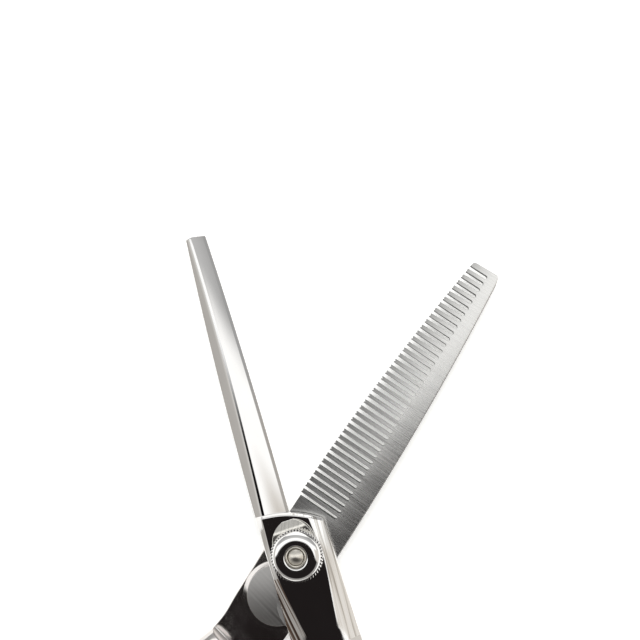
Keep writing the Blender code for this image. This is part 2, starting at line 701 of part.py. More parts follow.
def main():
    comb_side = start_scene()
    polished = make_material("polished_steel", (0.78, 0.78, 0.77), 0.08, 1.0)
    brushed = make_material("brushed_steel", (0.62, 0.61, 0.59), 0.32, 1.0)
    brass = make_material("bearing_brass", (0.78, 0.6, 0.32), 0.3, 1.0)
    nylon = make_material("nylon", (0.85, 0.84, 0.8), 0.5, 0.0)
    rubber = make_material("rubber", (0.05, 0.05, 0.05), 0.7, 0.0)
    make_straight_half(polished)
    make_comb_half(brushed, comb_side)
    make_pivot_screw(polished)
    make_bearing(polished, brass)
    ring_part("bearing_race", 2.75 * MM, 4.4 * MM, 1.68 * MM, 1.95 * MM, polished, comb_side)
    bush_bore = SHANK_RADIUS + BORE_CLEARANCE
    ring_part("pivot_bush", bush_bore, BUSH_RADIUS, 2.1 * MM, BUSH_TOP_Z, brass, comb_side)
    glide_low, glide_high = INTERFACE_Z - 0.03 * MM, WASHER_POCKET_TOP_Z - 0.05 * MM
    ring_part("glide_washer", WASHER_INNER, WASHER_OUTER, glide_low, glide_high, nylon)
    ring_part("spring_seat", STUD_RADIUS + 0.15 * MM, 3.6 * MM, 5.76 * MM, 6.2 * MM, brass)
    make_leaf_spring(polished)
    make_dial(polished)
    ring_part("dial_collar", STUD_RADIUS + 0.1 * MM, 2.15 * MM, 8.2 * MM, 8.72 * MM, polished)
    make_bumper(rubber, comb_side)
    make_finger_rest(polished, polished)


main()
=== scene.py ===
"""The looks of the thinning shears: ground, brushed and mirror-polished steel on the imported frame.

Lengths are in metres. The frame's +Y runs along the straight blade to its tip and +Z up through the dial.
Shapes of the comb half are made closed, along +Y, and turned open with the comb's body.
"""

import math

import bmesh
import bpy
from mathutils import Matrix, Vector

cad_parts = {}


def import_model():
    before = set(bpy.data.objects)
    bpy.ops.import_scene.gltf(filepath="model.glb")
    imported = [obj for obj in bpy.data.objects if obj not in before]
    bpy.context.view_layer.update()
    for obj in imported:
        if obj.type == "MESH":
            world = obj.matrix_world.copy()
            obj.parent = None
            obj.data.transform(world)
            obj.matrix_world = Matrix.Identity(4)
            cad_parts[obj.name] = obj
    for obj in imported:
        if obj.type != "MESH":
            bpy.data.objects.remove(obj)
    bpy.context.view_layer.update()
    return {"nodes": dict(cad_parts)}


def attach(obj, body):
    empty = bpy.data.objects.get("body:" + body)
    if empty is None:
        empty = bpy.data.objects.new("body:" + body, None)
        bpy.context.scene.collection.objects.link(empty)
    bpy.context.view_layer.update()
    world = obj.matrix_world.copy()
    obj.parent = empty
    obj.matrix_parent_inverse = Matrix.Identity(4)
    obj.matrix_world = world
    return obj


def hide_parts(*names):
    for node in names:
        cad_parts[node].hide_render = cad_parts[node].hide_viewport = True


MM = 0.001

# The frame's own sizes, as the CAD has them
OPEN_ANGLE = math.radians(52.9)
BLADE_TIP_Y = 64.4 * MM
INTERFACE_Z = 3.0 * MM
PAD_CENTRE = (0.9, -9.3)  # in millimetres, like the next four
BOSS_ARC_CENTRE = (-4.82, -8.71)
BOSS_ARC_RADIUS = 16.93
BOSS_TOP_Z = 5.7
MATING_Z = 3.5

SLOT_COUNT = 40
FIRST_SLOT_Y = 8.95 * MM
LAST_SLOT_Y = 62.85 * MM
SLOT_WIDTH = 0.66 * MM

FINGER_RING = Vector((15.2 * MM, -74.0 * MM))
FINGER_BORE = 10.75 * MM
THUMB_RING = Vector((-15.2 * MM, -66.0 * MM))
THUMB_BORE = 11.0 * MM
RING_BAND = 3.4 * MM
RING_HALF_HEIGHT = 2.55 * MM


# Materials


def new_material(name):
    """A material, its node tree and its Principled shader."""
    made = bpy.data.materials.new(name)
    made.use_nodes = True
    return made, made.node_tree, made.node_tree.nodes["Principled BSDF"]


def wire(tree, kind, inputs=None, **settings):
    """A shader node. inputs maps a socket's name or number to a value or to another node's output."""
    node = tree.nodes.new("ShaderNode" + kind)
    for key, value in settings.items():
        setattr(node, key, value)
    for key, value in (inputs or {}).items():
        if isinstance(value, bpy.types.NodeSocket):
            tree.links.new(value, node.inputs[key])
        else:
            node.inputs[key].default_value = value
    return node


def ramp(tree, factor, *stops):
    """A colour ramp through (position, grey or colour) stops."""
    node = wire(tree, "ValToRGB", {"Fac": factor})
    points = node.color_ramp.elements
    while len(points) < len(stops):
        points.new(0.5)
    for point, (position, shade) in zip(points, stops):
        point.position = position
        point.color = (*shade, 1) if isinstance(shade, tuple) else (shade, shade, shade, 1)
    return node.outputs["Color"]


def object_place(tree, turn=0.0, scale=(1, 1, 1)):
    """Object coordinates in millimetres, turned about Z and scaled."""
    place = wire(tree, "TexCoord").outputs["Object"]
    mapping = wire(tree, "Mapping", {"Vector": place, "Scale": [1000 * s for s in scale]})
    turned = wire(tree, "VectorRotate", {"Vector": place, "Angle": -turn}, rotation_type="Z_AXIS")
    tree.links.new(turned.outputs["Vector"], mapping.inputs["Vector"])
    return mapping.outputs["Vector"]


def noise(tree, place, scale, detail=4.0, roughness=0.6):
    inputs = {"Vector": place, "Scale": scale, "Detail": detail, "Roughness": roughness}
    return wire(tree, "TexNoise", inputs).outputs["Fac"]


def bumped(tree, shader, height, distance, strength=1.0):
    bump = wire(tree, "Bump", {"Height": height, "Distance": distance, "Strength": strength})
    tree.links.new(bump.outputs["Normal"], shader.inputs["Normal"])


def polished_steel(name, color=(0.80, 0.79, 0.78), roughness=0.045, scratch=0.35):
    """Mirror polish with hairline scratches and faint smears that only show in the highlights."""
    made, tree, shader = new_material(name)
    shader.inputs["Metallic"].default_value = 1.0
    smear = noise(tree, object_place(tree, scale=(0.25, 0.12, 0.25)), 1.0, 3.0)
    hairs = noise(tree, object_place(tree, turn=math.radians(12), scale=(6, 0.5, 6)), 1.0, 6.0, 0.7)
    low, high = roughness * 0.7, roughness * 1.7
    mixed = wire(tree, "Math", {0: smear, 1: hairs}, operation="MULTIPLY").outputs[0]
    tree.links.new(ramp(tree, mixed, (0.15, low), (0.42, high)), shader.inputs["Roughness"])
    tint = tuple(0.965 * c for c in color)
    tree.links.new(ramp(tree, smear, (0.35, tint), (0.65, color)), shader.inputs["Base Color"])
    bumped(tree, shader, hairs, 0.0000012 * scratch)
    return made


def ridge_painted_reflection():
    """Polished steel with a painted dark reflection along the blade's ridge, darkest near the pivot and
    gone past mid-length.
    """
    made, tree, shader = new_material("ridge_painted_reflection")
    shader.inputs["Metallic"].default_value = 1.0
    place = object_place(tree)
    along = wire(tree, "SeparateXYZ", {0: place}).outputs["Y"]
    inputs = {"Value": along, "From Min": 22.0, "From Max": 48.0}
    share = wire(tree, "MapRange", inputs, interpolation_type="SMOOTHSTEP").outputs["Result"]
    # Painted dark reflection: the base colour goes from near-black to plain steel between 22 and 48 mm
    # along Y
    tree.links.new(ramp(tree, share, (0.0, 0.03), (1.0, 0.78)), shader.inputs["Base Color"])
    hairs = noise(tree, place, 5.0, 5.0)
    tree.links.new(ramp(tree, hairs, (0.3, 0.08), (0.7, 0.2)), shader.inputs["Roughness"])
    return made


def streaked_painted_reflection(name, turn, *stops):
    """Chamfers polished by hand, with long streaks of painted reflection, dark and bright, at an angle to
    local Y.
    """
    made, tree, shader = new_material(name)
    shader.inputs["Metallic"].default_value = 1.0
    streaks = noise(tree, object_place(tree, turn=turn, scale=(1.9, 0.035, 0.6)), 1.0, 2.5, 0.55)
    tree.links.new(ramp(tree, streaks, *stops), shader.inputs["Base Color"])
    tree.links.new(ramp(tree, streaks, (0.3, 0.16), (0.7, 0.07)), shader.inputs["Roughness"])
    return made


def brushed_steel(name, turn, color=(0.60, 0.595, 0.58), roughness=0.30, grain=1.0, fade=None):
    """Ground steel whose fine grain runs along local X, turned by an angle.

    fade is the two places along the grain, in millimetres, between which a painted shade lifts, from 0.4 of
    the steel's colour to its full colour.
    """
    made, tree, shader = new_material(name)
    shader.inputs["Metallic"].default_value = 1.0
    place = object_place(tree, turn=turn, scale=(0.08, 11, 1.0))
    lines = noise(tree, place, 1.0, 8.0, 0.75)
    coarse = noise(tree, object_place(tree, turn=turn, scale=(0.04, 2.4, 1.0)), 1.0, 3.0)
    both = wire(tree, "Math", {0: lines, 1: coarse}, operation="ADD").outputs[0]
    half = wire(tree, "Math", {0: both, 1: 0.5}, operation="MULTIPLY").outputs[0]
    dark = tuple(0.74 * c for c in color)
    shade = ramp(tree, half, (0.36, dark), (0.64, color))
    # Painted shade: the colour is multiplied from 0.4 up to 1 between the two places along the grain
    if fade:
        along = wire(tree, "SeparateXYZ", {0: object_place(tree, turn=turn)}).outputs["X"]
        inputs = {"Value": along, "From Min": fade[0], "From Max": fade[1], "To Min": 0.40, "To Max": 1.0}
        painted_shade_multiplier = wire(tree, "MapRange", inputs, interpolation_type="SMOOTHSTEP").outputs["Result"]
        inputs = {0: 1.0, 6: shade, 7: painted_shade_multiplier}
        shade = wire(tree, "Mix", inputs, data_type="RGBA", blend_type="MULTIPLY").outputs[2]
    tree.links.new(shade, shader.inputs["Base Color"])
    rough = ramp(tree, half, (0.3, roughness * 0.8), (0.7, roughness * 1.25))
    tree.links.new(rough, shader.inputs["Roughness"])
    bumped(tree, shader, lines, 0.000004 * grain)
    return made


def bronze():
    made, tree, shader = new_material("turned_bronze")
    shader.inputs["Metallic"].default_value = 1.0
    stain = noise(tree, object_place(tree), 0.9)
    color = ramp(tree, stain, (0.3, (0.62, 0.43, 0.20)), (0.7, (0.80, 0.60, 0.31)))
    tree.links.new(color, shader.inputs["Base Color"])
    tree.links.new(ramp(tree, stain, (0.3, 0.35), (0.7, 0.22)), shader.inputs["Roughness"])
    return made


def nylon():
    made, tree, shader = new_material("nylon")
    mottle = noise(tree, object_place(tree), 1.5)
    color = ramp(tree, mottle, (0.3, (0.80, 0.78, 0.72)), (0.7, (0.88, 0.87, 0.82)))
    tree.links.new(color, shader.inputs["Base Color"])
    shader.inputs["Roughness"].default_value = 0.45
    shader.inputs["Subsurface Weight"].default_value = 0.15
    bumped(tree, shader, mottle, 0.00001)
    return made


def rubber():
    made, tree, shader = new_material("moulded_rubber")
    dust = noise(tree, object_place(tree), 1.3, 6.0)
    color = ramp(tree, dust, (0.35, (0.018, 0.018, 0.019)), (0.75, (0.05, 0.05, 0.05)))
    tree.links.new(color, shader.inputs["Base Color"])
    tree.links.new(ramp(tree, dust, (0.3, 0.55), (0.7, 0.8)), shader.inputs["Roughness"])
    bumped(tree, shader, noise(tree, object_place(tree), 9.0), 0.00002)
    return made


# Meshes and objects


def finished(name, bm, smooth_angle):
    """A mesh from a bmesh, smooth but for edges sharper than an angle in degrees."""
    bmesh.ops.recalc_face_normals(bm, faces=bm.faces)
    mesh = bpy.data.meshes.new(name)
    bm.to_mesh(mesh)
    bm.free()
    mesh.shade_smooth()
    mesh.set_sharp_from_angle(angle=math.radians(smooth_angle))
    return mesh


def applied(holder):
    """The mesh an object shows with its modifiers applied. The object is removed."""
    bpy.context.view_layer.update()
    graph = bpy.context.evaluated_depsgraph_get()
    mesh = bpy.data.meshes.new_from_object(holder.evaluated_get(graph))
    bpy.data.objects.remove(holder)
    return mesh


def add_piece(name, mesh, material, body, slot, replaces=(), opened=False, walls=None, wall_above=0.6):
    """A shown piece that rides on a body. An opened piece was made closed and turns with the comb.

    walls is the material of the steeper faces, where they differ from the rest: those whose normal's
    upward part is under wall_above.
    """
    if opened:
        mesh.transform(Matrix.Rotation(-OPEN_ANGLE, 4, "Z"))
    mesh.name = name
    mesh.materials.clear()
    mesh.materials.append(material)
    if walls:
        mesh.materials.append(walls)
        for face in mesh.polygons:
            face.material_index = 1 if abs(face.normal.z) < wall_above else 0
    piece = bpy.data.objects.new(name, mesh)
    bpy.context.scene.collection.objects.link(piece)
    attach(piece, body)
    if replaces:
        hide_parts(*replaces)
    return piece


def loft(name, loops, smooth_angle, closed=False):
    """A surface through loops of equal length, capped at both ends unless it closes on itself."""
    bm = bmesh.new()
    rows = [[bm.verts.new(point) for point in loop] for loop in loops]
    pairs = list(zip(rows, rows[1:] + rows[:1] if closed else rows[1:]))
    for near, far in pairs:
        for i in range(len(near)):
            j = (i + 1) % len(near)
            bm.faces.new((near[i], near[j], far[j], far[i]))
    if not closed:
        bm.faces.new(reversed(rows[0]))
        bm.faces.new(rows[-1])
    return finished(name, bm, smooth_angle)


def turned(name, profile, steps=96, smooth_angle=30):
    """A solid of revolution about Z through (radius, z) points. Radius 0 closes an end on the axis."""
    bm = bmesh.new()
    rows = []
    for radius, z in profile:
        if radius == 0:
            rows.append([bm.verts.new((0, 0, z))])
            continue
        turns = [2 * math.pi * i / steps for i in range(steps)]
        rows.append([bm.verts.new((radius * math.cos(a), radius * math.sin(a), z)) for a in turns])
    open_ends = len(rows[0]) == 1 or len(rows[-1]) == 1
    for near, far in zip(rows, rows[1:] if open_ends else rows[1:] + rows[:1]):
        for i in range(steps):
            j = (i + 1) % steps
            corners = [near[i % len(near)], near[j % len(near)], far[j % len(far)], far[i % len(far)]]
            bm.faces.new(list(dict.fromkeys(corners)))
    return finished(name, bm, smooth_angle)


def arc(centre, radius, start, stop, steps):
    """Points on an arc, angles in degrees."""
    turns = [math.radians(start + (stop - start) * i / steps) for i in range(steps + 1)]
    return [(centre[0] + radius * math.cos(a), centre[1] + radius * math.sin(a)) for a in turns]


def bent(start, corner, end, steps):
    """Points on the quadratic curve that rounds a corner."""
    points = []
    for i in range(steps + 1):
        t = i / steps
        shares = ((1 - t) ** 2, 2 * t * (1 - t), t**2)
        points.append(tuple(sum(s * p[k] for s, p in zip(shares, (start, corner, end))) for k in (0, 1)))
    return points


def cut(mesh, *tools):
    """The mesh with solids taken away from it."""
    holder = bpy.data.objects.new("cut", mesh)
    bpy.context.scene.collection.objects.link(holder)
    cutters = []
    for tool in tools:
        cutter = bpy.data.objects.new("cutter", tool)
        bpy.context.scene.collection.objects.link(cutter)
        step = holder.modifiers.new("cut", "BOOLEAN")
        step.operation = "DIFFERENCE"
        step.solver = "EXACT"
        step.object = cutter
        cutters.append(cutter)
    result = applied(holder)
    for cutter in cutters:
        bpy.data.objects.remove(cutter)
    return result


# Radius, lower and upper end of the pivot's bores, in millimetres
STRAIGHT_BORES = ((4.75, 0.0, 3.5), (3.25, 0.0, 4.35), (2.58, 0.0, 9.0))
COMB_BORES = ((4.7, -1.0, 2.05), (3.15, -1.0, 9.0))
SPRING_BORE = (1.7, 5.0, 8.0)


def drill(radius, low_z, high_z):
    """A round cutter about the pivot's axis, in millimetres."""
    profile = [(0, high_z), (radius, high_z), (radius, low_z), (0, low_z)]
    return turned("drill", [(r * MM, z * MM) for r, z in profile], 96)


# The two halves' bodies: boss, shank and ring, as a creased cage


LOOP_POINTS = 14  # 0-3 across the outer flat, 4-6 down the inner side, 7-10 the mating face, 11-13 up
INNER_CHAMFER_SLOPE = 0.52


def front_of_boss(x):
    """How far forward the boss's shoulder reaches at x, in millimetres."""
    centre_x, centre_y = BOSS_ARC_CENTRE
    return centre_y + math.sqrt(BOSS_ARC_RADIUS**2 - (x - centre_x) ** 2)


def boss_loop(place_y, outer, inner, flat, side_z, top_z=BOSS_TOP_Z, inner_z=None, foot_z=MATING_Z):
    """A loop of the boss, in millimetres: flat is the ground flat's outer and inner edge."""
    if inner_z is None:
        inner_z = top_z - INNER_CHAMFER_SLOPE * (flat[1] - inner)
    across = [flat[0] + (flat[1] - flat[0]) * i / 3 for i in range(4)]
    low = [inner + (outer - inner) * share for share in (0.12, 0.37, 0.63, 0.88)]
    section = [(x, top_z) for x in across]
    section += [(inner, inner_z), (inner, (inner_z + foot_z) / 2), (inner + 0.08, foot_z)]
    section += [(x, foot_z) for x in low]
    section += [(outer - 0.08, foot_z), (outer, (side_z + foot_z) / 2), (outer, side_z)]
    return [(x, place_y(x), z) for x, z in section]


def round_loop(outer, inner, half_height, foot_z=None, top_lag=0.0):
    """A loop of the shank, in millimetres. foot_z flattens its mating side at that height."""
    shape = [(0.74, 0.84), (0.30, 1.03), (-0.30, 1.03), (-0.74, 0.84), (-0.99, 0.42), (-1.01, 0.0)]
    shape += [(-0.99, -0.42), (-0.74, -0.84), (-0.30, -1.03), (0.30, -1.03), (0.74, -0.84)]
    shape += [(0.99, -0.42), (1.01, 0.0), (0.99, 0.42)]
    loop = []
    for index, (u, w) in enumerate(shape):
        x = (outer[0] + inner[0]) / 2 + (outer[0] - inner[0]) / 2 * u
        y = (outer[1] + inner[1]) / 2 + (outer[1] - inner[1]) / 2 * u
        z = 3 + half_height * w
        on_top = index < 5 or index == 13
        if foot_z is not None:
            z = max(z, foot_z) if index not in (5, 12) else (3 + half_height * 0.42 + foot_z) / 2
        loop.append((x, y - top_lag if on_top else y, z))
    return loop


def body_loops(side):
    """The loops from the boss's shoulder to the ring, in millimetres, before a half is turned over."""
    widen = 0.0 if side > 0 else -0.5
    front = front_of_boss
    loops = [
        boss_loop(lambda x: front(x) + 0.42, 6.35 + widen, -6.0, (4.3, -4.5), 4.45, 5.28, 4.1),
        boss_loop(front, 6.35 + widen, -6.0, (4.2, -4.5), 4.5, BOSS_TOP_Z, 4.15),
        boss_loop(lambda x: front(x) - 1.3, 6.35 + widen, -6.02, (4.3, -4.5), 4.5, BOSS_TOP_Z, 4.5),
    ]
    stations = (
        (0.6, 6.42, -6.05, (4.62, -4.85), 4.5),
        (-2.4, 6.45, -6.15, (4.58, -4.95), 4.5),
        (-5.4, 6.38, -6.35, (4.15, -4.60), 4.45),
        (-8.4, 6.27, -6.5, (3.66, -4.12), 4.35),
        (-11.4, 6.22, -6.6, (3.25, -3.65), 4.25),
        (-14.9, 6.15, -6.75, (2.75, -3.1), 4.2),
    )
    for y, outer, inner, flat, side_z in stations:
        loops.append(boss_loop(lambda x: y, outer + widen, inner, flat, side_z))
    rounded = (
        (6.12 if side > 0 else 5.38, -6.5, -16.9, -16.7, 2.62),
        (6.15 if side > 0 else 5.42, -5.3, -19.0, -18.4, 2.58),
    )
    for outer, inner, outer_y, inner_y, height in rounded:
        loops.append(round_loop((outer, outer_y), (inner, inner_y), height, MATING_Z))
    edge = 6.25 if side > 0 else 5.62
    loops.append(round_loop((edge, -21.05), (0.9, -21.85), 2.58, MATING_Z))
    loops.append(round_loop((edge + 0.03, -21.08), (1.1, -21.88), 2.58, top_lag=1.1))
    later = (
        (6.95 if side > 0 else 6.75, 1.7, -24.5, -24.2, 2.60),
        (8.05, 2.7, -29.0, -28.2, 2.60),
        (9.50, 4.0, -34.5, -33.5, 2.57),
        (10.75, 5.10, -41.0, -40.5, 2.55),
    )
    for outer, inner, outer_y, inner_y, height in later:
        loops.append(round_loop((outer, outer_y), (inner, inner_y), height))
    ring_y = FINGER_RING.y if side > 0 else THUMB_RING.y
    last_y = -49.0 + (ring_y / MM + 70) / 2
    loops.append(round_loop((11.70, last_y), (5.30, last_y - 0.5), 2.50))
    return loops


# Creases along the cage by loop point: the flat's two edges, the chamfers' feet and the mating face
LENGTHWISE_CREASES = {0: 0.62, 3: 0.62, 4: 0.5, 13: 0.35, 6: 0.8, 11: 0.8}
SHOULDER_LOOP = 11  # the loop before the wall where the shank takes its full depth
FLAT_END_LOOP = 8  # the last loop of the boss's ground flat
SMOOTH_LEVELS = 3


def half_body(name, side, ring, bore):
    """The subdivided body of one half. side is 1 for the straight half, and -1 for the comb half."""
    bm = bmesh.new()
    crease = bm.edges.layers.float.new("crease_edge")

    def vert(x, y, z):
        return bm.verts.new((side * x * MM, y * MM, (z if side > 0 else 6.0 - z) * MM))

    rows = [[vert(*point) for point in loop] for loop in body_loops(side)]
    ring_segments, section_points, join = 20, 8, 3
    centre = Vector((abs(ring.x), ring.y)) / MM
    last = body_loops(side)[-1]
    end = Vector((sum(p[0] for p in last) / LOOP_POINTS, sum(p[1] for p in last) / LOOP_POINTS))
    towards = math.atan2(end.y - centre.y, end.x - centre.x)
    step = 2 * math.pi / ring_segments
    band, half_height = RING_BAND / MM / 2, RING_HALF_HEIGHT / MM
    sections = []
    for i in range(ring_segments):
        turn = towards - step * (join / 2 - i)
        section = []
        for corner in range(section_points):
            around = 2 * math.pi * corner / section_points
            reach = bore / MM + band + 1.16 * band * math.cos(around)
            height = 3 + 1.12 * half_height * math.sin(around)
            section.append(
                vert(centre.x + reach * math.cos(turn), centre.y + reach * math.sin(turn), height)
            )
        sections.append(section)
    for i, near in enumerate(sections):
        far = sections[(i + 1) % ring_segments]
        for corner in range(section_points):
            if i < join and corner in (6, 7, 0, 1):
                continue
            following = (corner + 1) % section_points
            bm.faces.new((near[corner], near[following], far[following], far[corner]))
    first, final = sections[0], sections[join]
    rows.append(
        [
            *(sections[i][2] for i in range(join + 1)),
            *(final[corner] for corner in (1, 0, 7)),
            *(sections[i][6] for i in reversed(range(join + 1))),
            *(first[corner] for corner in (7, 0, 1)),
        ]
    )
    for near, far in zip(rows, rows[1:]):
        for i in range(LOOP_POINTS):
            j = (i + 1) % LOOP_POINTS
            bm.faces.new((near[i], near[j], far[j], far[i]))
    front = rows[0]
    for corners in ((3, 2, 8, 7), (2, 1, 9, 8), (1, 0, 10, 9), (3, 4, 5, 6, 7), (0, 13, 12, 11, 10)):
        bm.faces.new([front[i] for i in corners])

    def set_crease(one, other, value):
        edge = bm.edges.get((one, other))
        edge[crease] = max(edge[crease], value)

    for index in range(FLAT_END_LOOP):
        for point, value in LENGTHWISE_CREASES.items():
            fade = 1.0 if point in (0, 3, 6, 11) else max(0.0, 1 - index / 6)
            set_crease(rows[index][point], rows[index + 1][point], value * fade)
    for index in range(FLAT_END_LOOP, SHOULDER_LOOP):
        for point in (6, 11):
            set_crease(rows[index][point], rows[index + 1][point], 0.8)
    for i in range(3):
        set_crease(rows[FLAT_END_LOOP][i], rows[FLAT_END_LOOP][i + 1], 0.6)
    for i in range(LOOP_POINTS):
        j = (i + 1) % LOOP_POINTS
        set_crease(rows[0][i], rows[0][j], 0.7)
        set_crease(rows[1][i], rows[1][j], 0.62)
        if i in range(5, 12):
            set_crease(rows[SHOULDER_LOOP][i], rows[SHOULDER_LOOP][j], 0.7)
            set_crease(rows[SHOULDER_LOOP + 1][i], rows[SHOULDER_LOOP + 1][j], 0.55)
    holder = bpy.data.objects.new(name, finished(name, bm, 180))
    bpy.context.scene.collection.objects.link(holder)
    smooth = holder.modifiers.new("round", "SUBSURF")
    smooth.levels = smooth.render_levels = SMOOTH_LEVELS
    smooth.boundary_smooth = "PRESERVE_CORNERS"
    mesh = applied(holder)
    mesh.shade_smooth()
    return mesh


# Straight blade


EDGE_BEVEL = 0.5
SPINE_SLOPE = math.tan(math.radians(33))


def blade_section(y, inset=0.0):
    """The straight blade's section at y, as (x, z) in millimetres, from its edge over the ridge."""
    share = y / (BLADE_TIP_Y / MM)
    spine = -6.15 + 0.876 * share + 3.064 * share**2 + inset
    edge = 0.05 + 3.35 * share - 1.72 * share**2 - inset
    ridge = -5.02 + 6.7 * share - 2.93 * share**2 + inset
    ridge_z = 5.27 - 0.8 * share - 0.4 * inset
    foot_z, bevel_top = 3.05, 3.65 - 0.5 * inset
    width = edge - EDGE_BEVEL - ridge
    steps, rounding = 12, 0.34
    face = []
    for i in range(steps):
        reach = (1 - rounding / width) * i / steps
        fall = 0.58 * (1 - reach) + 0.42 * (1 - reach) ** 2
        face.append((edge - EDGE_BEVEL - width * reach, ridge_z - (ridge_z - bevel_top) * fall))
    start = (ridge + rounding, ridge_z - (ridge_z - bevel_top) * 0.58 * rounding / width)
    end = (ridge - 0.7, ridge_z - 0.7 * SPINE_SLOPE)
    spine_z = ridge_z - (ridge - spine) * SPINE_SLOPE
    back = bent((spine + 0.1, spine_z + 0.065), (spine, spine_z), (spine, spine_z - 0.12), 2)
    inner = [(spine, foot_z), (spine + 0.9, foot_z), ((spine + edge) / 2, foot_z + 0.12)]
    inner.append((edge - 0.6, foot_z))
    ends = [(edge, foot_z), (edge, foot_z + 0.06)]
    return [*ends, *face, *bent(start, (ridge, ridge_z), end, 11), *back, *inner]


def straight_blade():
    root, tip = 3.0, BLADE_TIP_Y / MM
    steps, rounding = 40, 0.32
    loops = []
    for i in range(steps + 1):
        y = root + (tip - rounding - root) * i / steps
        loops.append([(x, y, z) for x, z in blade_section(y)])
    for i in range(1, 6):
        turn = math.pi / 2 * i / 6
        y = tip - rounding + rounding * math.sin(turn)
        section = blade_section(y, rounding * (1 - math.cos(turn)))
        loops.append([(x, y, z) for x, z in section])
    tipped = []
    for loop in loops:
        # The end is cut a little askew, so that the cutting edge is shorter than the spine
        tipped.append([(x, y - 0.066 * (x + 2.2) * (y / tip) ** 40, z) for x, y, z in loop])
    scaled = [[(x * MM, y * MM, z * MM) for x, y, z in loop] for loop in tipped]
    return loft("straight_blade_edge", scaled, 8)


def is_ridge(face):
    """Whether a face of the straight blade lies on the rounded ridge between its two upper faces."""
    return -0.42 < face.normal.x < -0.05 and face.normal.z > 0.5


# Comb blade


def comb_spine_x(y):
    return 6.5 - 0.85e-3 * y**2


def tooth_tip_x(y):
    return -6.0 + 1.1e-3 * (y - 10) ** 2


def slot_root_x(y):
    return 2.45 - 0.37e-3 * y**2


def comb_outline():
    """The comb blade's outline in millimetres: up the toothed edge, round the tip, down the spine."""
    first, last = FIRST_SLOT_Y / MM, LAST_SLOT_Y / MM
    pitch = (last - first) / (SLOT_COUNT - 1)
    half = SLOT_WIDTH / MM / 2
    heel, tip = -5.76, BLADE_TIP_Y / MM
    points = [(-3.6, -3.0), (heel, 1.2)]
    for i in range(SLOT_COUNT):
        y = first + pitch * i
        points.append((tooth_tip_x(y - half) if i else heel, y - half))
        points += arc((slot_root_x(y) - half, y), half, -90, 90, 12)
        points.append((tooth_tip_x(y + half), y + half))
        if i < SLOT_COUNT - 1:
            middle = y + pitch / 2
            edge = tooth_tip_x(middle)
            points += [(edge, middle - 0.17), (edge + 0.26, middle), (edge, middle + 0.17)]
    points += arc((-2.2, tip - 0.75), 0.62, 150, 90, 6)
    points += arc((2.1, tip - 0.8), 0.8, 90, 10, 8)
    steps = 16
    points += [(comb_spine_x(y), y) for y in (tip * (1 - i / steps) - 2 for i in range(steps))]
    return points + [(comb_spine_x(0), -2.0), (5.0, -4.0)]


def comb_blade():
    """The comb's plate: even on its mating face and thinned on the outer one, with broken edges."""
    rounding, face_z, thickness = 0.035, 2.95, 2.05
    curve = bpy.data.curves.new("comb", "CURVE")
    curve.dimensions = "2D"
    curve.fill_mode = "BOTH"
    curve.extrude = (thickness / 2 - rounding) * MM
    curve.bevel_depth = rounding * MM
    curve.bevel_resolution = 1
    curve.offset = -rounding * MM
    outline = comb_outline()
    spline = curve.splines.new("POLY")
    spline.points.add(len(outline) - 1)
    for point, (x, y) in zip(spline.points, outline):
        point.co = (x * MM, y * MM, 0, 1)
    spline.use_cyclic_u = True
    holder = bpy.data.objects.new("comb", curve)
    bpy.context.scene.collection.objects.link(holder)
    mesh = applied(holder)
    mesh.transform(Matrix.Translation((0, 0, (face_z - thickness / 2) * MM)))
    wedge = []
    for y, thin in ((4.0, 0.0), (66.0, 0.75)):
        spine_z = face_z - thickness + thin - 0.01
        tooth_z = face_z - 0.95 + thin / 3
        section = ((8, spine_z), (2.9, spine_z), (-7, tooth_z), (-7, -3), (8, -3))
        wedge.append([(x * MM, y * MM, z * MM) for x, z in section])
    bm = bmesh.new()
    bm.from_mesh(mesh)
    bmesh.ops.remove_doubles(bm, verts=bm.verts, dist=0.001 * MM)
    corner = []
    for i in range(25):
        y = -4.5 + 71 * i / 24
        x = comb_spine_x(max(y, 0))
        section = [(x - 0.27, 3.2), *arc((x - 0.3, 2.66), 0.3, 82, 2, 6), (x + 0.5, 2.66), (x + 0.5, 3.2)]
        corner.append([(x * MM, y * MM, z * MM) for x, z in section])
    mesh = cut(finished("comb", bm, 25), loft("wedge", wedge, 30), loft("corner", corner, 30))
    mesh.set_sharp_from_angle(angle=math.radians(18))
    return mesh


def ride_pad(name, side):
    """The raised half-moon that the other half slides on, with a ledge round it."""
    rims = ((6.5, 2.42), (6.42, 2.5), (6.36, 2.65), (6.3, 2.67), (5.7, 2.74), (5.66, 2.76), (5.6, 2.93))
    rims += ((5.55, 2.95),)
    loops = []
    for radius, z in rims:
        circle = arc((side * PAD_CENTRE[0], PAD_CENTRE[1]), radius, 0, 360 - 360 / 96, 95)
        loops.append([(x * MM, y * MM, (z if side > 0 else 6 - z) * MM) for x, y in circle])
    return loft(name, loops, 22)


# Fittings on the rings


def aim(origin, direction):
    """A matrix that puts +Z along a level direction, at a point at the height of the halves' meeting."""
    turn = Vector((direction[0], direction[1], 0)).to_track_quat("Z", "Y").to_matrix().to_4x4()
    return Matrix.Translation((origin[0], origin[1], INTERFACE_Z)) @ turn


def bumper():
    """A round rubber stop with a moulding line, its stem in the thumb ring."""
    between = FINGER_RING - THUMB_RING
    gap = (between.length - FINGER_BORE - THUMB_BORE - 2 * RING_BAND) / MM
    top, radius = gap - 0.25, 2.1
    profile = [(0, top)] + [(x, top - 0.9 + 0.43 * y) for x, y in arc((0, 0), radius, 80, 0, 12)]
    profile += [(radius, 0.62), (radius + 0.05, 0.56), (radius, 0.5), (radius - 0.04, 0.22)]
    profile += [(radius - 0.12, 0.15), (1.0, 0.15), (1.0, -1.8), (0, -1.8)]
    mesh = turned("bumper", [(r * MM, z * MM) for r, z in profile], 64, 40)
    direction = between.normalized()
    mesh.transform(aim(THUMB_RING + direction * (THUMB_BORE + RING_BAND), direction))
    return mesh


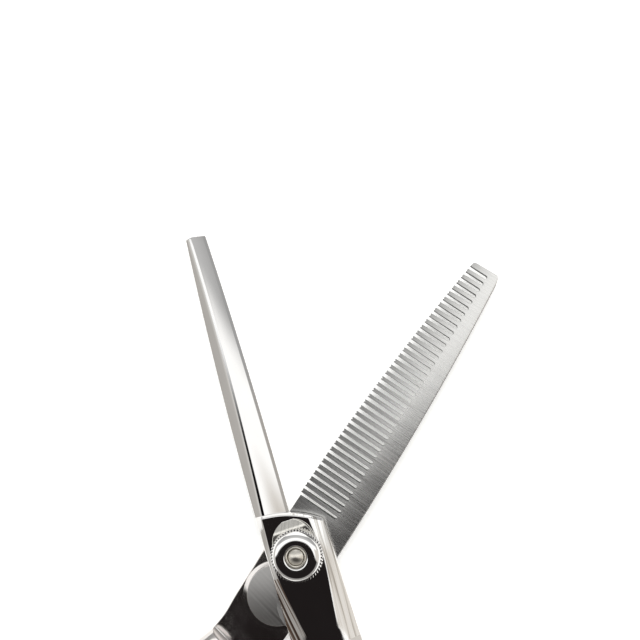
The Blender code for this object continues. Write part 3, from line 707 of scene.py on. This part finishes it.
def finger_rest():
    """The hooked rest for the little finger: a stud, a swept arm that thins, and a rounded end."""
    angle = math.radians(-58)
    out = Vector((math.cos(angle), math.sin(angle)))
    foot = FINGER_RING + out * (FINGER_BORE + RING_BAND + 0.55 * MM)
    stud = [(-2.45, 1.1), (-0.05, 1.1), (-0.04, 2.1), (0.05, 2.22), (0.3, 2.25), (1.2, 2.2)]
    points = [(foot + out * (along * MM), radius) for along, radius in stud]
    place, heading = points[-1][0], angle
    steps, bends = 56, 14
    for i in range(steps):
        share = (i + 1) / steps
        heading += math.radians(5.2) * (1.5 - share) * bends / steps
        lead = heading + math.radians(2.6) * (1.5 - share)
        place = place + Vector((math.cos(lead), math.sin(lead))) * (1.35 * MM * bends / steps)
        swell = 0.55 * math.exp(-(((share - 1.0) / 0.16) ** 2))
        points.append((place, 2.15 - 0.75 * share + swell))
    ahead = Vector((math.cos(heading), math.sin(heading)))
    points += [(place + ahead * 0.82 * x * MM, y) for x, y in arc((0, 0), 1.95, 75, 12, 9)]
    curve = bpy.data.curves.new("finger_rest", "CURVE")
    curve.dimensions = "3D"
    curve.bevel_depth = MM
    curve.bevel_resolution = 10
    curve.use_fill_caps = True
    spline = curve.splines.new("POLY")
    spline.points.add(len(points) - 1)
    for point, (place, radius) in zip(spline.points, points):
        point.co = (place.x, place.y, INTERFACE_Z, 1)
        point.radius = radius
    holder = bpy.data.objects.new("finger_rest", curve)
    bpy.context.scene.collection.objects.link(holder)
    mesh = applied(holder)
    bm = bmesh.new()
    bm.from_mesh(mesh)
    bmesh.ops.remove_doubles(bm, verts=bm.verts, dist=0.001 * MM)
    return finished("finger_rest", bm, 40)


# Pivot


def tension_dial():
    """The dial's cap: a domed, hollowed disc over its knurled skirt."""
    profile = [(1.53, 8.1), (1.98, 8.1), (2.02, 8.14), (2.04, 8.86), (2.08, 8.94), (2.16, 8.99)]
    profile += [(2.3, 9.01), (2.8, 9.02), (3.25, 8.99)]
    profile += bent((3.25, 8.99), (4.34, 8.86), (4.5, 7.9), 12)[1:]
    profile += [(4.46, 7.8), (4.4, 7.2), (1.53, 7.2)]
    return turned("dial_cap", [(r * MM, z * MM) for r, z in profile], 128, 28)


def knurled_skirt():
    teeth, per_tooth = 52, 8
    levels = ((6.75, 4.66), (6.86, 4.82), (7.0, 4.9), (7.66, 4.9), (7.82, 4.76))
    loops = []
    for z, radius in levels:
        loop = []
        for i in range(teeth * per_tooth):
            a = 2 * math.pi * i / (teeth * per_tooth)
            depth = 0.26 * (0.5 - 0.5 * math.cos(a * teeth)) ** 0.8
            reach = radius - depth
            loop.append((reach * math.cos(a) * MM, reach * math.sin(a) * MM, z * MM))
        loops.append(loop)
    for z in (7.82, 6.75):
        circle = arc((0, 0), 1.53, 0, 360 - 360 / len(loop), len(loop) - 1)
        loops.append([(x * MM, y * MM, z * MM) for x, y in circle])
    return loft("dial_knurl", loops, 40, closed=True)


def pivot_screw():
    """The screw from its crowned upper end to its broad flat head, which has two spanner holes."""
    profile = [(0, 9.15)] + [(r, 9.15 - 0.5 * (r / 1.4) ** 2) for r in (0.3, 0.6, 0.9, 1.15, 1.3, 1.4)]
    profile += [(1.45, 8.55), (1.45, 5.6), (2.4, 5.6), (2.5, 5.5), (2.5, 0.8), (4.32, 0.8), (4.4, 0.72)]
    profile += [(4.4, 0.2), (4.34, 0.08), (4.2, 0), (0, 0)]
    mesh = turned("pivot_screw", [(r * MM, z * MM) for r, z in profile], 96, 24)
    holes = []
    for side in (-1, 1):
        hole = drill(0.62, -0.5, 0.5)
        hole.transform(Matrix.Translation((side * 2.7 * MM, 0, 0)))
        holes.append(hole)
    mesh = cut(mesh, *holes)
    mesh.set_sharp_from_angle(angle=math.radians(24))
    return mesh


def dial_collar():
    """The locking ring in the dial's hollow, with a rounded top."""
    profile = [(1.55, 8.15), (1.55, 8.7), (1.6, 8.82), (1.72, 8.89), (1.84, 8.86), (1.94, 8.74)]
    profile += [(1.97, 8.55), (1.97, 8.15)]
    return turned("dial_collar_ring", [(r * MM, z * MM) for r, z in profile], 96, 40)


def leaf_spring():
    """An oval leaf with one long end bent down onto the boss, and rolled edges."""
    steps, front, rear = 36, 6.35, -4.35
    loops = []
    for i in range(steps + 1):
        y = rear + (front - rear) * i / steps
        reach = abs(y) / (front if y > 0 else -rear) / 1.03
        half = 4.2 * math.sqrt(1 - reach**2.6)
        low = 6.25 - 0.49 * max(y - 4.75, 0) / (front - 4.75)
        high, roll = low + 0.42, 0.09
        right = [(half - roll, low), (half, low + roll), (half, high - roll), (half - roll, high)]
        left = [(-x, z) for x, z in reversed(right)]
        loops.append([(x * MM, y * MM, z * MM) for x, z in (*right, *left)])
    return loft("leaf_spring_leaf", loops, 20)


# Stage: floor, surroundings and camera


def add_floor():
    size = 1.6
    bm = bmesh.new()
    place = Matrix.Translation((0, 0, -0.05 * MM))
    bmesh.ops.create_grid(bm, x_segments=2, y_segments=2, size=size, matrix=place)
    mesh = bpy.data.meshes.new("floor")
    bm.to_mesh(mesh)
    bm.free()
    floor = bpy.data.objects.new("floor", mesh)
    bpy.context.scene.collection.objects.link(floor)
    made, tree, shader = new_material("floor_white")
    mottle = noise(tree, object_place(tree, scale=(0.02, 0.02, 0.02)), 1.0)
    color = ramp(tree, mottle, (0.3, (0.93, 0.93, 0.915)), (0.7, (0.95, 0.95, 0.94)))
    tree.links.new(color, shader.inputs["Base Color"])
    shader.inputs["Roughness"].default_value = 0.6
    tree.links.new(color, shader.inputs["Emission Color"])
    shader.inputs["Emission Strength"].default_value = 0.35
    mesh.materials.append(made)


# Which way the photographer stands, seen from above, and the way across
TOWARDS_VIEWER = (-0.335, -0.942, 0.0)
ACROSS = (0.942, -0.335, 0.0)
# Which way the greyer strip of ceiling lies, just ahead of the blades
AHEAD = (0.25, 1.0, 0.0)


def add_surroundings(strength=1.3):
    """A white tent: a dark gap where the photographer stands, a grey strip of ceiling and grey walls.

    Heights and the other ranges below are parts of a unit direction.
    """
    world = bpy.data.worlds.new("tent")
    bpy.context.scene.world = world
    world.use_nodes = True
    tree = world.node_tree
    way = wire(tree, "TexCoord").outputs["Generated"]

    def along(direction):
        return wire(tree, "VectorMath", {0: way, 1: direction}, operation="DOT_PRODUCT").outputs["Value"]

    def calculate(operation, *values):
        return wire(tree, "Math", dict(enumerate(values)), operation=operation).outputs[0]

    def rise(value, low, high):
        inputs = {"Value": value, "From Min": low, "From Max": high}
        return wire(tree, "MapRange", inputs, interpolation_type="SMOOTHSTEP").outputs["Result"]

    def fall(value, low, high):
        return calculate("SUBTRACT", 1.0, rise(value, low, high))

    def laid(under, share, color):
        inputs = {0: share, 6: under, 7: (*color, 1)}
        return wire(tree, "Mix", inputs, data_type="RGBA").outputs[2]

    near = along(TOWARDS_VIEWER)
    across = along(ACROSS)
    height = along((0, 0, 1))
    ahead = along(AHEAD)
    # Low down the walls are grey, but for the far one
    beside = rise(near, -0.8, -0.5)
    middle = calculate("MULTIPLY", fall(height, 0.38, 0.62), beside)
    shade = laid((1.0, 1.0, 0.99, 1), middle, (0.54, 0.53, 0.51))
    low = calculate("MULTIPLY", fall(height, 0.15, 0.33), beside)
    shade = laid(shade, low, (0.37, 0.355, 0.335))
    right = calculate("MULTIPLY", rise(across, 0.3, 0.6), fall(ahead, 0.02, 0.12))
    shade = laid(shade, right, (0.60, 0.57, 0.53))
    strip = calculate("MULTIPLY", rise(ahead, 0.22, 0.36), fall(ahead, 0.78, 0.90))
    strip_shade = ramp(tree, height, (0.6, 0.33), (0.95, 0.50))
    shade = wire(tree, "Mix", {0: strip, 6: shade, 7: strip_shade}, data_type="RGBA").outputs[2]
    # The gap opens in a wedge from overhead, and gives way to grey low down
    right_side, left_side = (calculate("MULTIPLY", across, share) for share in (0.42, -0.22))
    narrowing = calculate("MAXIMUM", right_side, left_side)
    gap = rise(calculate("SUBTRACT", near, narrowing), -0.02, 0.07)
    gap = calculate("MULTIPLY", gap, calculate("SUBTRACT", 1.0, fall(across, -0.86, -0.76)))
    gap_shade = ramp(tree, height, (0.46, (0.30, 0.29, 0.28)), (0.62, (0.012, 0.010, 0.010)))
    shade = wire(tree, "Mix", {0: gap, 6: shade, 7: gap_shade}, data_type="RGBA").outputs[2]
    background = tree.nodes["Background"]
    tree.links.new(shade, background.inputs["Color"])
    background.inputs["Strength"].default_value = strength


def add_light(name, place, size, energy, color=(1, 1, 1)):
    """A soft square lamp that faces the pivot and shows in no reflection."""
    data = bpy.data.lights.new(name, "AREA")
    data.size = size
    data.energy = energy
    data.color = color
    light = bpy.data.objects.new(name, data)
    bpy.context.scene.collection.objects.link(light)
    light.location = place
    light.rotation_euler = Vector(place).to_track_quat("Z", "Y").to_euler()
    light.visible_glossy = False


def add_camera():
    """Straight down with a slight lean, from above the blades, as the shears were photographed."""
    data = bpy.data.cameras.new("camera")
    data.sensor_width = 36
    data.lens = 43.31
    data.clip_start = 0.005
    camera = bpy.data.objects.new("camera", data)
    bpy.context.scene.collection.objects.link(camera)
    right = Vector((0.94069, -0.32322, -0.10279))
    up = Vector((0.33324, 0.93722, 0.10279))
    back = right.cross(up)
    turn = Matrix((right, up, back)).transposed().to_4x4()
    camera.matrix_world = Matrix.Translation((27.34 * MM, 20.67 * MM, 151.13 * MM)) @ turn
    bpy.context.scene.camera = camera


# Where the boss's chamfers with painted reflection streaks lie, along Y in millimetres, and how far their
# normals lean
BOSS_REAR_Y, DIAL_REAR_Y, BOSS_FRONT_Y = -17.5, -3.0, 8.0
CHAMFER_TILT = 0.25
LEVEL = 0.999  # the upward part of a level face's normal


def main():
    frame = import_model()
    bpy.context.scene.view_settings.view_transform = "Standard"
    add_camera()
    add_floor()
    add_surroundings()
    add_light("top_light", (0.15, 0.25, 0.5), 0.4, 2.0)
    polished = polished_steel("polished_steel")
    satin = polished_steel("satin_steel", (0.74, 0.71, 0.69), 0.12, 0.25)
    # The comb plate's steel, darkened by a painted shade between -6.5 and 3 mm along its grain
    brushed = brushed_steel("brushed_steel", -OPEN_ANGLE, (0.86, 0.855, 0.84), 0.26, 1.0, (-6.5, 3.0))
    # Near-black steel for the comb's slot walls: painted shade for the narrow, shadowed slots
    slot_wall_shade = brushed_steel("slot_wall_painted_shade_steel", 0.0, (0.035, 0.033, 0.03), 0.45)
    pad = brushed_steel("pad_steel", -math.radians(63), (0.54, 0.53, 0.52), 0.42)
    hairline = polished_steel("hairline_steel", scratch=2.5)
    chrome = polished_steel("dial_chrome", (0.86, 0.85, 0.84), 0.05)
    leaf = brushed_steel("leaf_steel", math.radians(70), (0.80, 0.78, 0.73), 0.16, 0.5)
    pin = brushed_steel("pin_steel", math.radians(20), (0.94, 0.90, 0.82), 0.3, 0.5)
    brass = bronze()

    polished_half = ("straight_side", "polished_steel", ["straight_blade"])
    edge = add_piece("straight_blade_edge", straight_blade(), polished, *polished_half)
    # The ridge's faces take the steel with the painted dark reflection
    edge.data.materials.append(ridge_painted_reflection())
    for face in edge.data.polygons:
        face.material_index = 1 if is_ridge(face) else 0
    body = half_body("straight_body", 1, FINGER_RING, FINGER_BORE)
    body = cut(body, *(drill(*bore) for bore in STRAIGHT_BORES))
    body.set_sharp_from_angle(angle=math.radians(50))
    body = add_piece("straight_body", body, hairline, *polished_half)
    # Painted reflection streaks on the boss's chamfers: near-black and brown on the inner one, grey to
    # white on the outer one
    inner_painted_reflection_stops = ((0.36, (0.04, 0.03, 0.025)), (0.5, (0.22, 0.15, 0.11)), (0.62, (0.85, 0.84, 0.82)))
    outer_painted_reflection_stops = ((0.40, (0.52, 0.50, 0.47)), (0.5, (0.86, 0.85, 0.83)), (0.62, (0.95, 0.95, 0.95)))
    body.data.materials.append(streaked_painted_reflection("inner_chamfer_painted_reflection", math.radians(9), *inner_painted_reflection_stops))
    body.data.materials.append(streaked_painted_reflection("outer_chamfer_painted_reflection", math.radians(-4), *outer_painted_reflection_stops))
    # Faces of the boss's two chamfers take the painted reflection streaks
    for face in body.data.polygons:
        along = face.center.y / MM
        if face.normal.z > 0.5 and BOSS_REAR_Y < along < BOSS_FRONT_Y:
            if face.normal.x < -CHAMFER_TILT and along < DIAL_REAR_Y:
                face.material_index = 1
            elif face.normal.x > CHAMFER_TILT:
                face.material_index = 2
    add_piece("straight_pad", ride_pad("straight_pad", -1), pad, "straight_side", "brushed_steel")

    body = half_body("comb_body", -1, THUMB_RING, THUMB_BORE)
    body = cut(body, *(drill(*bore) for bore in COMB_BORES))
    body.set_sharp_from_angle(angle=math.radians(50))
    add_piece("comb_body", body, satin, "comb_side", "polished_steel", ["comb_blade"], True)
    plate = cut(comb_blade(), *(drill(*bore) for bore in COMB_BORES))
    plate.set_sharp_from_angle(angle=math.radians(18))
    # The plate's steeper faces, its slot walls among them, take the near-black painted shade
    add_piece("comb_plate", plate, brushed, "comb_side", "brushed_steel", ["comb_blade"], True, slot_wall_shade)
    comb_pad = ride_pad("comb_pad", 1)
    add_piece("comb_pad", comb_pad, pad, "comb_side", "brushed_steel", [], True, satin, LEVEL)

    add_piece("dial_cap", tension_dial(), chrome, "dial", "dial_chrome", ["tension_dial"])
    add_piece("dial_knurl", knurled_skirt(), chrome, "dial", "dial_chrome", ["tension_dial"])
    add_piece("dial_collar_ring", dial_collar(), pin, "dial", "dial_chrome", ["dial_collar"])
    add_piece("pivot_pin", pivot_screw(), pin, "straight_side", "bright_steel", ["pivot_screw"])
    spring = cut(leaf_spring(), drill(*SPRING_BORE))
    spring.set_sharp_from_angle(angle=math.radians(20))
    add_piece("leaf_spring_leaf", spring, leaf, "straight_side", "bright_steel", ["leaf_spring"])

    add_piece("bumper_pad", bumper(), rubber(), "comb_side", "black_rubber", ["bumper"], True)
    add_piece("finger_rest_arm", finger_rest(), chrome, "straight_side", "polished_steel", ["finger_rest"])

    looks = {
        "pivot_bush": brass,
        "bearing_retainer": brass,
        "spring_seat": brass,
        "glide_washer": nylon(),
    }
    for name, node in frame["nodes"].items():
        node.data.materials.clear()
        node.data.materials.append(looks.get(name, polished))


main()
